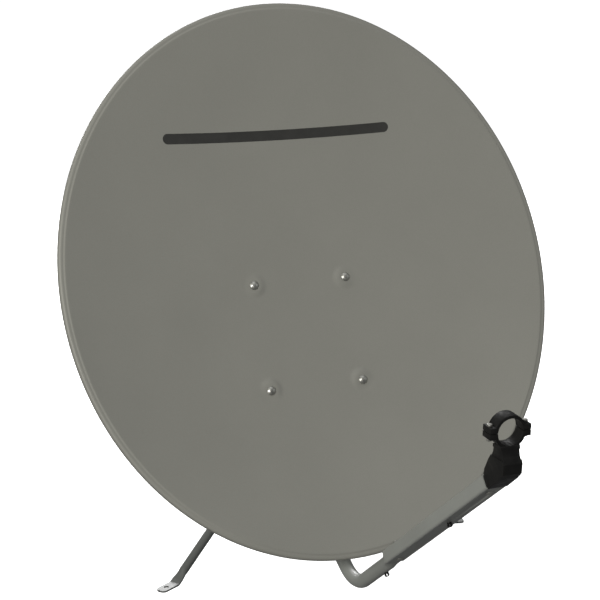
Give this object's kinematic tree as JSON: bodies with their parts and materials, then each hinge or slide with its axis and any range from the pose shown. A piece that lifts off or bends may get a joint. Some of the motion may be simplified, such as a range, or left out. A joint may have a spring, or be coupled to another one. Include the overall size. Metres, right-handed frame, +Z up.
{
  "type": "satellite dish",
  "caption": "Offset satellite dish reflector on a short flanged mast with side stays, aimed in azimuth and elevation, with a bent feed arm and an empty clamp for the receiver head.",
  "frame": {"origin": "centre of the base flange's underside, on the mast's axis", "axes": "+Z up along the mast; the dish faces -Y; +X is on the right of a person who looks at the reflecting face"},
  "size_m": [0.8999, 0.9234, 0.9835],
  "materials": {
    "dish_paint": "satin",
    "bracket_paint": "satin",
    "arm_paint": "satin",
    "stay_paint": "satin",
    "galvanised_steel": "galvanised",
    "cast_aluminium": "cast",
    "black_plastic": "fine grained",
    "zinc_fasteners": "zinc plated"
  },
  "bodies": {
    "stand": {"base_flange": "bracket_paint", "base_set_screws": "zinc_fasteners", "mast": "galvanised_steel", "mast_cap": "black_plastic", "left_stay_collar": "bracket_paint", "right_stay_collar": "bracket_paint", "collar_bolts": "zinc_fasteners", "collar_nuts": "zinc_fasteners", "left_stay": "stay_paint", "right_stay": "stay_paint", "stay_bolts": "zinc_fasteners", "stay_nuts": "zinc_fasteners"},
    "head": {"azimuth_bracket": "bracket_paint", "lower_saddle": "cast_aluminium", "upper_saddle": "cast_aluminium", "lower_mast_clamp": "bracket_paint", "upper_mast_clamp": "bracket_paint", "clamp_bolts": "zinc_fasteners", "clamp_nuts": "zinc_fasteners", "elevation_pivot_bolt": "zinc_fasteners", "elevation_pivot_nut": "zinc_fasteners", "elevation_lock_bolts": "zinc_fasteners", "elevation_lock_nuts": "zinc_fasteners"},
    "dish": {"reflector": "dish_paint", "reflector_bolts": "zinc_fasteners", "reflector_nuts": "zinc_fasteners", "back_bracket": "bracket_paint", "arm_lower_tube": "arm_paint", "arm_yoke": "bracket_paint", "yoke_bolts": "zinc_fasteners", "yoke_nuts": "zinc_fasteners", "arm_box_tube": "arm_paint", "arm_joint_bolt": "zinc_fasteners", "arm_joint_nut": "zinc_fasteners", "cable_clip": "black_plastic", "lower_cable_clip": "black_plastic", "lnb_holder_base": "black_plastic", "lnb_clamp_cap": "black_plastic", "lnb_clamp_screws": "zinc_fasteners", "lnb_clamp_nuts": "zinc_fasteners", "holder_bolt": "zinc_fasteners", "holder_nut": "zinc_fasteners"}
  },
  "joints": [
    {"name": "azimuth", "type": "hinge", "parent": "stand", "child": "head", "pos_m": [0, 0, 0.4], "axis": [0, 0, 1], "range_deg": [-40, 40]},
    {"name": "elevation", "type": "hinge", "parent": "head", "child": "dish", "pos_m": [0, -0.052, 0.44], "axis": [-1, 0, 0], "range_deg": [-3, 25]}
  ]
}
